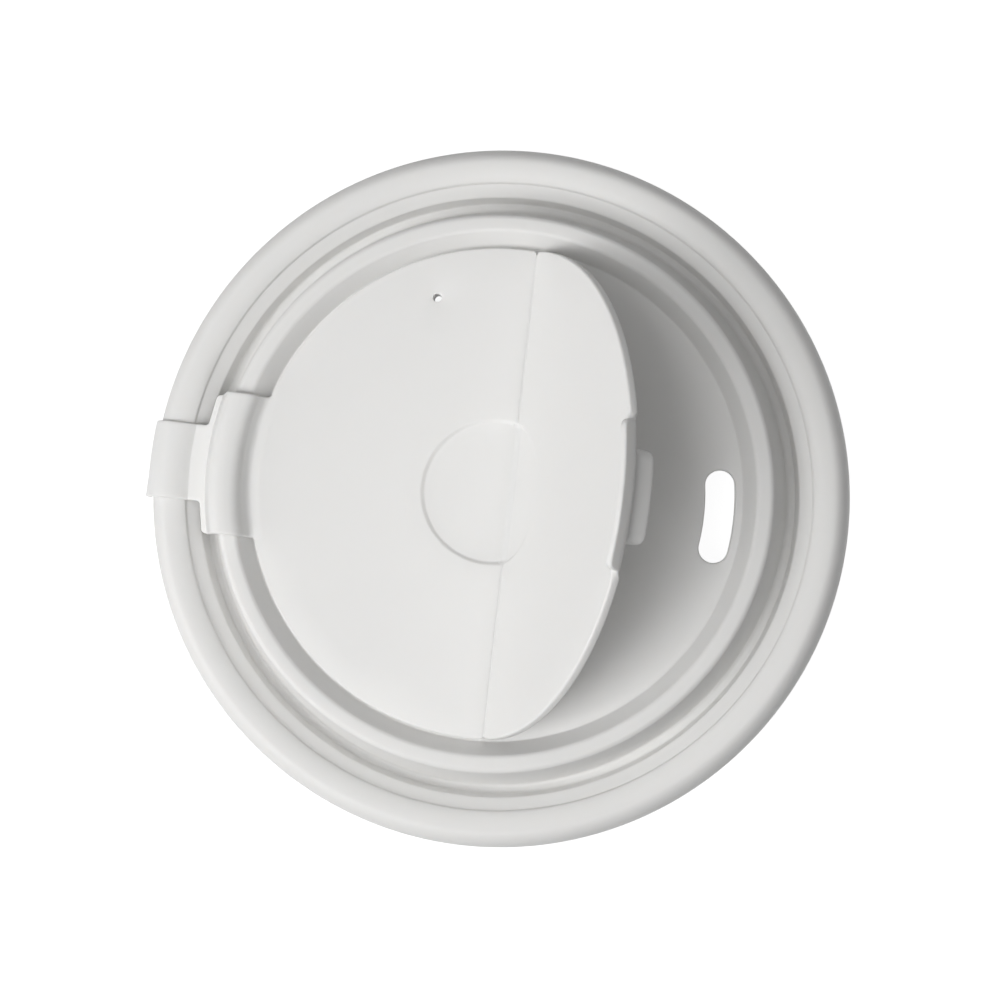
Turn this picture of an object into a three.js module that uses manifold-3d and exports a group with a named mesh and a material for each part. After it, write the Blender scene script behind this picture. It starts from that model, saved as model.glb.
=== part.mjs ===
// Reusable coffee-cup lid with a clip-on closure, moulded in white polypropylene.
// Millimetres, +Z up. The lid's axis is Z and the skirt stands on z = 0.
// The drinking slot lies on +X and the strap of the closure crosses the rim on -X.
// The closure is one moulding: strap, fixed half and flap, joined by a living hinge.

import * as THREE from 'three';
import { mergeVertices } from 'three/addons/utils/BufferGeometryUtils.js';
import Module from 'manifold-3d';

const wasm = await Module();
wasm.setup();

// Walls and clearances
const WALL = 1.2;
const CLEARANCE = 0.3;
const TURN_STEPS = 72;

// Bead that grips the rolled rim of the cup
const RIM_RADIUS = 47.0;
const BEAD_WIDTH = 5.0;
const BEAD_HEIGHT = 6.1;
const BEAD_SHOULDER_HEIGHT = 5.1;
const SNAP_DEPTH = 0.4;
const SKIRT_DRAFT = 0.25;
const SKIRT_LEAN = 0.2;
const SKIRT_HEIGHT = 2.2;
const FOOT_HEIGHT = 0.8;

// Moat between the bead and the drinking ridge
const MOAT_LEDGE_WIDTH = 1.9;
const MOAT_LEDGE_DROP = 0.45;
const MOAT_FLOOR_HEIGHT = 1.5;
const MOAT_ROUND = 0.4;
const MOAT_WALL_DRAFT = 0.35;

// Drinking ridge
const RIDGE_HEIGHT = 11.0;
const RIDGE_CREST_WIDTH = 2.1;
const RIDGE_INNER_RUN = 1.8;
const RIDGE_OUTER_RUN = 2.1;

// Deck inside the ridge, with the drinking slot
const DECK_RADIUS = 32.6;
const DECK_HEIGHT = 8.5;
const SLOT_INSET = 3.4;
const SLOT_WIDTH = 3.8;
const SLOT_LENGTH = 12.2;

// Vent, drilled through the fixed half and the deck
const VENT_DIAMETER = 1.1;
const VENT_INSET = 5.8;
const VENT_ANGLE = 112.4;

// Closure
const DISC_EDGE_GAP = 0.35;
const DISC_THICKNESS = 1.2;
const DISC_SEAT_GAP = 0.2;
const HINGE_OFFSET = 2.3;
const HINGE_GAP = 0.3;
const HINGE_THINNING = 0.5;
const HINGE_GROOVE = 0.8;
const RISE_ROUND = 1.0;
const THUMB_RECESS_RADIUS = 9.55;
const THUMB_RECESS_DEPTH = 0.4;
const STRAP_WIDTH = 18.8;
const STRAP_PLATE = 1.0;
const FLANGE_WIDTH = 0.75;
const WEB_WIDTH = 10.3;
const WEB_THICKNESS = 0.9;
const WEB_LAP = 0.3;
const CLIP_PROUD = 0.6;
const CLIP_FOOT_FLARE = 0.5;
const CLIP_SEAT_DEPTH = 0.5;
const CLIP_END_HEIGHT = 0.5;
const LIP_WIDTH = 18.2;
const LIP_HEIGHT = 2.0;
const LIP_THICKNESS = 1.2;
const LIP_CORNER = 1.6;
const PLUG_DEPTH = 3.0;
const PLUG_TAPER = 0.4;
const FLAP_OPEN_ANGLE = 58;

// Heights and radii that follow from the sizes above
const discBottom = DECK_HEIGHT + DISC_SEAT_GAP;
const discTop = discBottom + DISC_THICKNESS;
const discRadius = DECK_RADIUS - DISC_EDGE_GAP;
const crestInner = DECK_RADIUS + RIDGE_INNER_RUN;
const crestOuter = crestInner + RIDGE_CREST_WIDTH;
const crestMiddle = crestInner + RIDGE_CREST_WIDTH / 2;
const ridgeFoot = crestOuter + RIDGE_OUTER_RUN;
const slotRadius = DECK_RADIUS - SLOT_INSET;
const ventRadius = DECK_RADIUS - VENT_INSET;
const ventX = ventRadius * Math.cos(THREE.MathUtils.degToRad(VENT_ANGLE));
const ventY = ventRadius * Math.sin(THREE.MathUtils.degToRad(VENT_ANGLE));
const crestRound = RIDGE_CREST_WIDTH / 4;
const beadCrest = RIM_RADIUS - BEAD_WIDTH / 2;
const beadInner = RIM_RADIUS - BEAD_WIDTH;
const beadOuterRun = RIM_RADIUS - SKIRT_LEAN - beadCrest;
const moatLedge = beadInner - MOAT_LEDGE_WIDTH;
const moatFootRadius = moatLedge - MOAT_WALL_DRAFT;
const webTop = BEAD_SHOULDER_HEIGHT - CLIP_SEAT_DEPTH + CLEARANCE + WEB_THICKNESS + 0.1;
const webBottom = webTop - WEB_THICKNESS;
const plateInner = discRadius - 4;

const vec = (r, z) => new THREE.Vector2(r, z);

// Points of a profile moved sideways by a distance, mitred at each corner
function offsetProfile(points, distance) {
  const normalAt = (a, b) => vec(a.y - b.y, b.x - a.x).normalize();
  return points.map((point, i) => {
    const before = i > 0 ? normalAt(points[i - 1], point) : null;
    const after = i < points.length - 1 ? normalAt(point, points[i + 1]) : null;
    if (!before || !after) {
      return point.clone().addScaledVector(before ?? after, distance);
    }
    const mitre = before.clone().add(after).normalize();
    return point.clone().addScaledVector(mitre, distance / mitre.dot(after));
  });
}

// A band of even thickness along a profile, as one closed outline
function bandOutline(points, inner, outer) {
  return [...offsetProfile(points, inner), ...offsetProfile(points, outer).reverse()];
}

// Round stretch of a profile: an elliptic arc about (r, z), angles in degrees
function arc(r, z, radiusR, radiusZ, from, to, steps) {
  const list = [];
  for (let i = 0; i <= steps; i += 1) {
    const angle = THREE.MathUtils.degToRad(from + ((to - from) * i) / steps);
    list.push(vec(r + radiusR * Math.cos(angle), z + radiusZ * Math.sin(angle)));
  }
  return list;
}

// Closed mesh to solid
function toSolid(geometry) {
  const bare = geometry.clone();
  bare.deleteAttribute('normal');
  bare.deleteAttribute('uv');
  const merged = mergeVertices(bare, 1e-5);
  return new wasm.Manifold(new wasm.Mesh({
    numProp: 3,
    vertProperties: new Float32Array(merged.attributes.position.array),
    triVerts: new Uint32Array(merged.index.array),
  }));
}

// Solid back to a three.js geometry
function toGeometry(solid) {
  const mesh = solid.getMesh();
  const geometry = new THREE.BufferGeometry();
  geometry.setAttribute('position', new THREE.BufferAttribute(mesh.vertProperties, 3));
  geometry.setIndex(new THREE.BufferAttribute(mesh.triVerts, 1));
  geometry.computeVertexNormals();
  return geometry;
}

// Outline in (radius, height) turned round the lid's axis
function turned(outline) {
  const area = THREE.ShapeUtils.area(outline);
  const points = area > 0 ? [...outline] : [...outline].reverse();
  points.push(points[0].clone());
  const geometry = new THREE.LatheGeometry(points, TURN_STEPS);
  geometry.rotateX(Math.PI / 2);
  geometry.rotateZ(Math.PI / TURN_STEPS);
  return toSolid(geometry);
}

// Plan shape raised between two heights
function raised(shape, from, to, curveSegments = 8) {
  const geometry = new THREE.ExtrudeGeometry(shape, {
    depth: to - from,
    bevelEnabled: false,
    curveSegments,
  });
  geometry.translate(0, 0, from);
  return toSolid(geometry);
}

// Rectangle in plan with rounded corners
function roundedRectangle(x0, x1, y0, y1, radius) {
  const shape = new THREE.Shape();
  shape.moveTo(x0 + radius, y0);
  shape.lineTo(x1 - radius, y0);
  shape.absarc(x1 - radius, y0 + radius, radius, -Math.PI / 2, 0);
  shape.lineTo(x1, y1 - radius);
  shape.absarc(x1 - radius, y1 - radius, radius, 0, Math.PI / 2);
  shape.lineTo(x0 + radius, y1);
  shape.absarc(x0 + radius, y1 - radius, radius, Math.PI / 2, Math.PI);
  shape.lineTo(x0, y0 + radius);
  shape.absarc(x0 + radius, y0 + radius, radius, Math.PI, Math.PI * 1.5);
  return shape;
}

// Plain block in plan, between two heights
function block(x0, x1, halfWidth, z0, z1) {
  const shape = new THREE.Shape();
  shape.moveTo(x0, -halfWidth);
  shape.lineTo(x1, -halfWidth);
  shape.lineTo(x1, halfWidth);
  shape.lineTo(x0, halfWidth);
  return raised(shape, z0, z1);
}

// Curved slot outline that follows the ridge, with round ends
function slotShape(width, length) {
  const half = width / 2;
  const sweep = (length / 2 - half) / slotRadius;
  const shape = new THREE.Shape();
  const endX = slotRadius * Math.cos(sweep);
  const endY = slotRadius * Math.sin(sweep);
  shape.absarc(0, 0, slotRadius + half, -sweep, sweep);
  shape.absarc(endX, endY, half, sweep, sweep + Math.PI);
  shape.absarc(0, 0, slotRadius - half, sweep, -sweep, true);
  shape.absarc(endX, -endY, half, Math.PI - sweep, 2 * Math.PI - sweep);
  return shape;
}

// Full circle in plan
function circle(x, y, radius) {
  const shape = new THREE.Shape();
  shape.absarc(x, y, radius, 0, 2 * Math.PI);
  return shape;
}

// Outer face of the bead, from the foot of the skirt over the crown to the shoulder
const beadFace = [
  vec(RIM_RADIUS - SKIRT_DRAFT, 0),
  vec(RIM_RADIUS, FOOT_HEIGHT),
  vec(RIM_RADIUS - SKIRT_LEAN, SKIRT_HEIGHT),
  ...arc(beadCrest, SKIRT_HEIGHT, beadOuterRun, BEAD_HEIGHT - SKIRT_HEIGHT, 10, 90, 7),
  ...arc(beadCrest, BEAD_SHOULDER_HEIGHT, beadCrest - beadInner, BEAD_HEIGHT - BEAD_SHOULDER_HEIGHT, 115, 172, 3),
];

// Face of the moat, from the crease behind the bead to the foot of the ridge
const moatFace = [
  vec(beadInner - MOAT_ROUND / 4, BEAD_SHOULDER_HEIGHT),
  vec(moatLedge + MOAT_ROUND, BEAD_SHOULDER_HEIGHT - MOAT_LEDGE_DROP),
  vec(moatLedge, BEAD_SHOULDER_HEIGHT - MOAT_LEDGE_DROP - MOAT_ROUND),
  vec(moatFootRadius, MOAT_FLOOR_HEIGHT + MOAT_ROUND),
  vec(moatFootRadius - MOAT_ROUND, MOAT_FLOOR_HEIGHT),
  vec(ridgeFoot + MOAT_ROUND, MOAT_FLOOR_HEIGHT),
];

// Face of the ridge, from its foot over the crest to the edge of the deck
const ridgeFace = [
  vec(ridgeFoot, MOAT_FLOOR_HEIGHT + MOAT_ROUND),
  vec(crestOuter + 0.25, RIDGE_HEIGHT - 0.7),
  ...arc(crestOuter - crestRound, RIDGE_HEIGHT - crestRound, crestRound, crestRound, 20, 90, 3),
  ...arc(crestInner + crestRound, RIDGE_HEIGHT - crestRound, crestRound, crestRound, 90, 150, 3),
  vec(DECK_RADIUS + 0.2, DECK_HEIGHT + 0.2),
  vec(DECK_RADIUS, DECK_HEIGHT),
];

// Section of the lid body, one wall thick all the way from the skirt to the deck
function lidOutline() {
  const inner = RIM_RADIUS - WALL;
  const channelTop = BEAD_HEIGHT - WALL;
  const ridgeInside = offsetProfile(ridgeFace, WALL);
  const rimChannel = [
    vec(inner, 0),
    vec(inner - SNAP_DEPTH, FOOT_HEIGHT - 0.3),
    vec(inner - SNAP_DEPTH, FOOT_HEIGHT + 0.1),
    vec(inner - SKIRT_LEAN, 2 * FOOT_HEIGHT),
    ...arc(beadCrest, SKIRT_HEIGHT, beadOuterRun - WALL, channelTop - SKIRT_HEIGHT, 10, 130, 6),
    vec(moatLedge + WALL, BEAD_SHOULDER_HEIGHT - WALL),
    vec(moatFootRadius + WALL, MOAT_FLOOR_HEIGHT),
    vec(moatFootRadius + WALL * 0.6, MOAT_FLOOR_HEIGHT - WALL),
    vec(ridgeFoot - 0.4, MOAT_FLOOR_HEIGHT - WALL),
  ];
  return [
    ...beadFace,
    ...moatFace,
    ...ridgeFace,
    vec(0, DECK_HEIGHT),
    vec(0, DECK_HEIGHT - WALL),
    vec(ridgeInside[ridgeInside.length - 1].x, DECK_HEIGHT - WALL),
    vec(crestMiddle - 0.3, RIDGE_HEIGHT - WALL),
    vec(crestMiddle + 0.1, RIDGE_HEIGHT - WALL),
    vec(ridgeInside[0].x, MOAT_FLOOR_HEIGHT - WALL + 0.5),
    ...rimChannel.reverse(),
  ];
}

// Lid body: turned section with the slot, the vent and a shallow seat for the strap
function makeLidBody() {
  const seatHalf = WEB_WIDTH / 2 + CLEARANCE;
  const below = DECK_HEIGHT - 2 * WALL;
  const above = DECK_HEIGHT + WALL;
  const slot = raised(slotShape(SLOT_WIDTH, SLOT_LENGTH), below, above);
  const vent = raised(circle(ventX, ventY, VENT_DIAMETER / 2), below, above, 6);
  const seatSide = block(-RIM_RADIUS - 2 * WALL, -beadInner, seatHalf, -1, BEAD_HEIGHT + 2 * WALL);
  const clipSeat = turned(bandOutline(beadFace, CLIP_SEAT_DEPTH, -WALL)).intersect(seatSide);
  const webSeat = block(-beadInner - WEB_LAP - CLEARANCE, -moatFootRadius, seatHalf, webBottom - CLEARANCE, BEAD_HEIGHT);
  return turned(lidOutline())
    .subtract(slot)
    .subtract(vent)
    .subtract(clipSeat)
    .subtract(webSeat);
}

// Section of the saddle, which climbs from the disc over the crest of the ridge and
// comes down to a narrow flange on its outer side
function saddleOutline(saddleFoot, flangeRadius) {
  const under = offsetProfile(ridgeFace, -CLEARANCE).slice(1, -2);
  const over = offsetProfile(ridgeFace, -CLEARANCE - STRAP_PLATE).slice(1, -2).reverse();
  const top = over[0];
  return [
    vec(flangeRadius, webBottom),
    vec(ridgeWallRadius(webBottom) + CLEARANCE, webBottom),
    ...under,
    vec(discRadius + 0.1, discBottom),
    vec(plateInner, discBottom),
    vec(plateInner, discTop),
    vec(top.x - 2.0 * RISE_ROUND, discTop),
    vec(top.x - 1.45 * RISE_ROUND, discTop + 0.05 * RISE_ROUND),
    vec(top.x - 0.95 * RISE_ROUND, discTop + 0.25 * RISE_ROUND),
    vec(top.x - 0.4 * RISE_ROUND, top.y - 0.65 * RISE_ROUND),
    ...over,
    vec(saddleFoot, webTop),
    vec(flangeRadius, webTop),
  ];
}

// Section of the lip on the flap: its outer face leans along the ridge's inner wall,
// and its edge stands just above the crest, where a finger finds it
function lipOutline() {
  const lean = RIDGE_INNER_RUN / (RIDGE_HEIGHT - DECK_HEIGHT);
  const lipTop = discTop + LIP_HEIGHT;
  const outer = (height) => discRadius + lean * (height - discBottom);
  const edge = LIP_THICKNESS / 4;
  return [
    vec(plateInner, discBottom),
    vec(discRadius, discBottom),
    vec(outer(lipTop - edge), lipTop - edge),
    vec(outer(lipTop - edge) - edge / 2, lipTop),
    vec(outer(lipTop) - LIP_THICKNESS, lipTop - edge),
    vec(outer(discTop) - LIP_THICKNESS, discTop + edge),
    vec(outer(discTop) - 2 * LIP_THICKNESS, discTop),
    vec(plateInner, discTop),
  ];
}

// Radius of the ridge's outer wall at a height
function ridgeWallRadius(height) {
  const [foot, head] = ridgeFace;
  return foot.x + ((head.x - foot.x) * (height - foot.y)) / (head.y - foot.y);
}

// Outline of the disc, with its edge slightly rounded
function discOutline() {
  const edge = DISC_THICKNESS / 4;
  return [
    vec(0, discBottom),
    vec(discRadius - edge, discBottom),
    vec(discRadius, discBottom + edge),
    vec(discRadius, discTop - edge),
    vec(discRadius - edge, discTop),
    vec(0, discTop),
  ];
}

// Section of the clip: a band over the bead, with a small flare at its foot
function clipOutline() {
  const inside = offsetProfile(beadFace, CLIP_SEAT_DEPTH - CLEARANCE);
  const [, foot, knee, ...crown] = offsetProfile(beadFace, -CLIP_PROUD);
  return [
    ...inside,
    ...crown.reverse(),
    knee,
    vec(foot.x + CLIP_FOOT_FLARE, foot.y),
    vec(foot.x + CLIP_FOOT_FLARE, 0),
  ];
}

// Shallow round recess for a thumb, which crosses the hinge
function thumbRecess() {
  return raised(circle(0, 0, THUMB_RECESS_RADIUS), discTop - THUMB_RECESS_DEPTH, discTop + WALL, 24);
}

// Thin groove under the living hinge, on one side of it
function hingeThinning(x0, x1) {
  return block(x0, x1, discRadius, discBottom - WALL, discBottom + HINGE_THINNING);
}

// Strap, fixed half and clip of the closure
function makeStrap() {
  const tall = RIDGE_HEIGHT + 4 * WALL;
  const hingeEdge = HINGE_OFFSET - HINGE_GAP / 2;
  const half = turned(discOutline())
    .intersect(block(-RIM_RADIUS, hingeEdge, RIM_RADIUS, 0, tall));
  const saddleFoot = ridgeWallRadius(webTop) + CLEARANCE + STRAP_PLATE;
  const flangeRadius = saddleFoot + FLANGE_WIDTH;
  const saddlePlan = roundedRectangle(
    -flangeRadius - FLANGE_WIDTH,
    -plateInner,
    -STRAP_WIDTH / 2,
    STRAP_WIDTH / 2,
    FLANGE_WIDTH,
  );
  const saddle = turned(saddleOutline(saddleFoot, flangeRadius))
    .intersect(raised(saddlePlan, 0, tall, 3));
  const clipSide = block(-RIM_RADIUS - 2 * WALL, -beadInner, WEB_WIDTH / 2, CLIP_END_HEIGHT, tall);
  const clip = turned(clipOutline()).intersect(clipSide);
  const web = block(-beadInner - WEB_LAP, -flangeRadius + WEB_LAP, WEB_WIDTH / 2, webBottom, webTop);
  const vent = raised(circle(ventX, ventY, VENT_DIAMETER / 2), DECK_HEIGHT, tall, 6);
  return half
    .add(saddle)
    .add(clip)
    .add(web)
    .subtract(thumbRecess())
    .subtract(hingeThinning(hingeEdge - HINGE_GROOVE, hingeEdge + WALL))
    .subtract(vent);
}

// Front view of the lip: straight sides, with its two upper corners rounded
function lipFront(lipTop) {
  const half = LIP_WIDTH / 2;
  const shape = new THREE.Shape();
  shape.moveTo(-half, 0);
  shape.lineTo(half, 0);
  shape.lineTo(half, lipTop - LIP_CORNER);
  shape.absarc(half - LIP_CORNER, lipTop - LIP_CORNER, LIP_CORNER, 0, Math.PI / 2);
  shape.lineTo(-half + LIP_CORNER, lipTop);
  shape.absarc(-half + LIP_CORNER, lipTop - LIP_CORNER, LIP_CORNER, Math.PI / 2, Math.PI);
  return shape;
}

// Front view pushed out along +X, from the disc to beyond the crest
function pushedOut(shape, from, to) {
  const geometry = new THREE.ExtrudeGeometry(shape, {
    depth: to - from,
    bevelEnabled: false,
    curveSegments: 6,
  });
  geometry.rotateX(Math.PI / 2);
  geometry.rotateZ(Math.PI / 2);
  geometry.translate(from, 0, 0);
  return toSolid(geometry);
}

// Plug under the flap that closes the slot, narrower at its tip
function makePlug() {
  const shape = slotShape(SLOT_WIDTH - 2 * CLEARANCE, SLOT_LENGTH - 2 * CLEARANCE);
  const core = PLUG_DEPTH - DISC_THICKNESS / 2;
  const geometry = new THREE.ExtrudeGeometry(shape, {
    depth: core,
    bevelEnabled: true,
    bevelThickness: DISC_THICKNESS / 2,
    bevelSize: PLUG_TAPER,
    bevelOffset: -PLUG_TAPER,
    bevelSegments: 2,
    curveSegments: 8,
  });
  geometry.translate(0, 0, discBottom - core);
  return toSolid(geometry);
}

// Flap of the closure in its shut position
function makeFlap() {
  const tall = RIDGE_HEIGHT + 4 * WALL;
  const hingeEdge = HINGE_OFFSET + HINGE_GAP / 2;
  const half = turned(discOutline())
    .intersect(block(hingeEdge, RIM_RADIUS, RIM_RADIUS, 0, tall));
  const front = lipFront(discTop + LIP_HEIGHT);
  const lip = turned(lipOutline()).intersect(pushedOut(front, plateInner - WALL, crestOuter));
  return half
    .add(lip)
    .add(makePlug())
    .subtract(thumbRecess())
    .subtract(hingeThinning(hingeEdge - WALL, hingeEdge + HINGE_GROOVE));
}

const whitePolypropylene = new THREE.MeshStandardMaterial({
  color: 0xe9ebe8,
  roughness: 0.42,
  metalness: 0,
});

function addPiece(parent, name, solid) {
  const mesh = new THREE.Mesh(toGeometry(solid), whitePolypropylene);
  mesh.name = name;
  parent.add(mesh);
  return mesh;
}

const lid = new THREE.Group();
addPiece(lid, 'lid_body', makeLidBody());
addPiece(lid, 'closure_strap', makeStrap());

// The flap turns about the living hinge, which lies in its upper face
const hinge = new THREE.Group();
hinge.position.set(HINGE_OFFSET, 0, discTop);
hinge.rotation.y = -THREE.MathUtils.degToRad(FLAP_OPEN_ANGLE);
lid.add(hinge);
const flap = addPiece(hinge, 'flap', makeFlap());
flap.position.set(-HINGE_OFFSET, 0, -discTop);

export default lid;
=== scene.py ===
# %% [markdown]
# # A reusable cup lid with a hinged closure
# The lid is two white polypropylene mouldings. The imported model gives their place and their
# joint. Here each one is rebuilt as a fine mesh with its real edge rounds, in metres, in the
# frame's own axes: +Z up, +X from the strap towards the drinking slot.

# %% Load the frame
import math
import bpy
import numpy as np
from mathutils import Matrix, Vector
from mathutils.geometry import delaunay_2d_cdt


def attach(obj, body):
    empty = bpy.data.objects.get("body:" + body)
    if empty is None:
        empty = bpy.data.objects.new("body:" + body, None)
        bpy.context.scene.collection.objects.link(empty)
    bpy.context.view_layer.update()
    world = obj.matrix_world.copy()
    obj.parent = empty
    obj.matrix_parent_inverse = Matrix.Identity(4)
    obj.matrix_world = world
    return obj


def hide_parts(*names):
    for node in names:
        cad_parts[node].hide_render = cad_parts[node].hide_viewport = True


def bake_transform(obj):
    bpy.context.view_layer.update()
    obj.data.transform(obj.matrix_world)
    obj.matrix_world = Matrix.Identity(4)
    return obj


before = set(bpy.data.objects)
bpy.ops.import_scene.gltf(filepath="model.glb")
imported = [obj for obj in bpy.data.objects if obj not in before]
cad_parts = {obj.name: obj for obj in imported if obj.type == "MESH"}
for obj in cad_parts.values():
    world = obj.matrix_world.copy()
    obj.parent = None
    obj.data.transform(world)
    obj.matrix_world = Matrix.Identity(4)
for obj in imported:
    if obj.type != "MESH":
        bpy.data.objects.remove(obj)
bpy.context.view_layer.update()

MM = 0.001

# %% [markdown]
# ## Camera
# The photograph looks almost straight down on the lid, from 300 mm up. Three small turns and
# the shift of the lid in the frame came from fitting its circles. The camera is placed with the
# inverse of those turns, so that the lid itself stays where the frame puts it.

# %% Camera
VIEW_DISTANCE = 300.0
VIEW_TURNS = (-0.062, -0.076, -0.111)
VIEW_SHIFT = (-0.217, 0.490)
RIM_LEVEL = 1.0
PIXELS_PER_MM = 7.411
IMAGE_WIDTH = 1000.0
SENSOR_WIDTH = 36.0

camera_data = bpy.data.cameras.new("photo_camera")
camera_data.sensor_width = SENSOR_WIDTH
camera_data.lens = PIXELS_PER_MM * VIEW_DISTANCE / IMAGE_WIDTH * SENSOR_WIDTH
camera = bpy.data.objects.new("photo_camera", camera_data)
bpy.context.scene.collection.objects.link(camera)
turn = (
    Matrix.Rotation(VIEW_TURNS[0], 4, "X")
    @ Matrix.Rotation(VIEW_TURNS[1], 4, "Y")
    @ Matrix.Rotation(VIEW_TURNS[2], 4, "Z")
)
back = Matrix.Translation(Vector((-VIEW_SHIFT[0], -VIEW_SHIFT[1], VIEW_DISTANCE)) * MM)
camera.matrix_world = Matrix.Translation((0, 0, RIM_LEVEL * MM)) @ turn.inverted() @ back
bpy.context.scene.camera = camera
print("lens, mm:", round(camera_data.lens, 1))

# %% [markdown]
# ## Sizes
# Lengths are in millimetres and mostly those of the construction model. The slot, the ledge in
# the moat and the lean of the lip were read once more from the photograph. Names that end in _R
# are radii from the lid's axis, and names that end in _Z are heights above the table.

# %% Sizes of the lid body
WALL = 1.2
RIM_R = 47.0
SKIRT_Z = 2.2
BEAD_CREST_R = 44.5
BEAD_TOP = 6.1
BEAD_RUN = 2.3
BEAD_INNER_RUN = 2.8
SHOULDER_Z = 5.1
CREASE_R = 41.8
CREASE_Z = 5.0
LEDGE_R = 40.1
LEDGE_Z = 4.1
MOAT_FOOT_R = 39.75
MOAT_Z = 1.5
MOAT_FALL = 0.15
RIDGE_FOOT_R = 38.6
CREST_OUT_R = 36.5
CREST_IN_R = 34.4
RIDGE_TOP = 11.0
DECK_R = 32.6
DECK_Z = 8.5
SEAM_R = DECK_R - 0.4
SLOT_R = 29.6
SLOT_W = 3.8
SLOT_L = 12.2
VENT_R = 0.55
VENT_AT_R = 26.8
VENT_AT = (
    VENT_AT_R * math.cos(math.radians(112.4)),
    VENT_AT_R * math.sin(math.radians(112.4)),
)
print("lid body, mm: radius", RIM_R, "bead", BEAD_TOP, "ridge", RIDGE_TOP, "deck", DECK_Z)

# %% Sizes of the closure
DISC_R = 32.25
DISC_T = 1.2
DISC_TOP = 9.9
HINGE_X = 2.3
HINGE_GAP = 0.13
THUMB_R = 9.45
THUMB_DEPTH = 0.4
THUMB_WALL = 0.5
THUMB_OUTSET = 0.15
STRAP_HALF = 9.4
SADDLE_Z = RIDGE_TOP + 0.8
FLANGE_R = 39.9
WEB_HALF = 5.15
WEB_Z = 5.5
CLIP_OFF = 0.38
FOOT_SKEW = 0.2
LIP_HALF = 9.1
LIP_CORNER = 1.6
OPEN_ANGLE = math.radians(58)
print("closure, mm: disc radius", DISC_R, "strap width", 2 * STRAP_HALF, "web", 2 * WEB_HALF)

# %% [markdown]
# ## Rounded sections
# A moulded section has no sharp corner. A section could be drawn with a curve object, but a
# list of corners with a radius each says more plainly what the toolmaker cut, so the helper
# turns such a list into a smooth line. The bead and the clip are parts of ellipses.

# %% Section helpers
MAX_REACH = 0.49


def rounded(corners, step):
    """Corners (r, z, radius) to a fine line of points, with an arc in place of each corner."""
    line = []
    last = len(corners) - 1
    for i, corner in enumerate(corners):
        here = np.array(corner[:2], float)
        radius = corner[2] if len(corner) > 2 else 0.0
        if radius <= 0 or i in (0, last):
            line.append(here)
            continue
        before = np.array(corners[i - 1][:2], float) - here
        after = np.array(corners[i + 1][:2], float) - here
        length_before = np.linalg.norm(before)
        length_after = np.linalg.norm(after)
        before /= length_before
        after /= length_after
        half = math.acos(max(-1.0, min(1.0, float(before @ after)))) / 2
        reach = radius / math.tan(half)
        limit = MAX_REACH * min(length_before, length_after)
        if reach > limit:
            radius *= limit / reach
            reach = limit
        bisector = before + after
        bisector /= np.linalg.norm(bisector)
        centre = here + bisector * radius / math.sin(half)
        start = here + before * reach - centre
        end = here + after * reach - centre
        sweep = math.pi - 2 * half
        steps = max(2, math.ceil(sweep / step))
        sign = 1.0 if start[0] * end[1] - start[1] * end[0] > 0 else -1.0
        for k in range(steps + 1):
            angle = sign * sweep * k / steps
            cos, sin = math.cos(angle), math.sin(angle)
            spoke = np.array([start[0] * cos - start[1] * sin, start[0] * sin + start[1] * cos])
            line.append(centre + spoke)
    return np.array(line)


def ellipse(r, z, radius_r, radius_z, start, end, step=4):
    """Points on an ellipse in section, angles in degrees."""
    steps = max(2, math.ceil(abs(end - start) / step))
    angles = [math.radians(start + (end - start) * i / steps) for i in range(steps + 1)]
    return [(r + radius_r * math.cos(a), z + radius_z * math.sin(a)) for a in angles]


def arc_points(x, y, radius, start, end, spacing):
    """Points on an arc, angles in radians, in the sense from start to end."""
    steps = max(2, math.ceil(abs(end - start) * radius / spacing))
    angles = np.linspace(start, end, steps + 1)
    return [(x + radius * math.cos(a), y + radius * math.sin(a)) for a in angles]


def smooth_step(value):
    value = np.clip(value, 0.0, 1.0)
    return value * value * (3 - 2 * value)


print("section helpers: rounded, ellipse, arc_points, smooth_step")

# %% [markdown]
# ## Outlines
# The outline of a plate is a closed loop of points. It is drawn on the side where Y is above
# zero and mirrored, because both halves of the closure are symmetric. Some corners are blunted,
# as the corners of a tool are, and long sides get more points.

# %% Outline helpers
OUTLINE_STEP = 0.5
BLUNT_SEARCH = 40


def inset(loop, distance):
    """A closed loop of points moved to its left by a distance that may differ by point."""
    before = np.roll(loop, 1, axis=0)
    after = np.roll(loop, -1, axis=0)
    first = loop - before
    second = after - loop
    first /= np.linalg.norm(first, axis=1)[:, None]
    second /= np.linalg.norm(second, axis=1)[:, None]
    mean = first + second
    mean /= np.linalg.norm(mean, axis=1)[:, None]
    left = np.stack([-mean[:, 1], mean[:, 0]], axis=1)
    stretch = np.maximum(0.5, (mean * second).sum(axis=1))
    return loop + left * (distance / stretch)[:, None]


def resample(loop, spacing):
    """Adds points along a closed loop so that no side is longer than the spacing."""
    points = []
    for a, b in zip(loop, np.roll(loop, -1, axis=0)):
        parts = max(1, math.ceil(np.linalg.norm(b - a) / spacing))
        points += [a + (b - a) * k / parts for k in range(parts)]
    return np.array(points)


def blunt(points, index, radius):
    """Replaces the corner at an index of a dense line by an arc of that radius."""
    points = [np.array(p, float) for p in points]
    here = points[index]
    before = here
    i = index
    while np.linalg.norm(before - here) < radius and i > index - BLUNT_SEARCH:
        i -= 1
        before = points[i % len(points)]
    after = here
    j = index
    while np.linalg.norm(after - here) < radius and j < index + BLUNT_SEARCH:
        j += 1
        after = points[j % len(points)]
    a = here + (before - here) / np.linalg.norm(before - here) * radius
    b = here + (after - here) / np.linalg.norm(after - here) * radius
    curve = [(1 - t) ** 2 * a + 2 * t * (1 - t) * here + t * t * b for t in np.linspace(0, 1, 7)]
    kept = points[:i + 1] + curve + points[j:]
    return [tuple(p) for p in kept], len(curve) - (j - i - 1)


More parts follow.
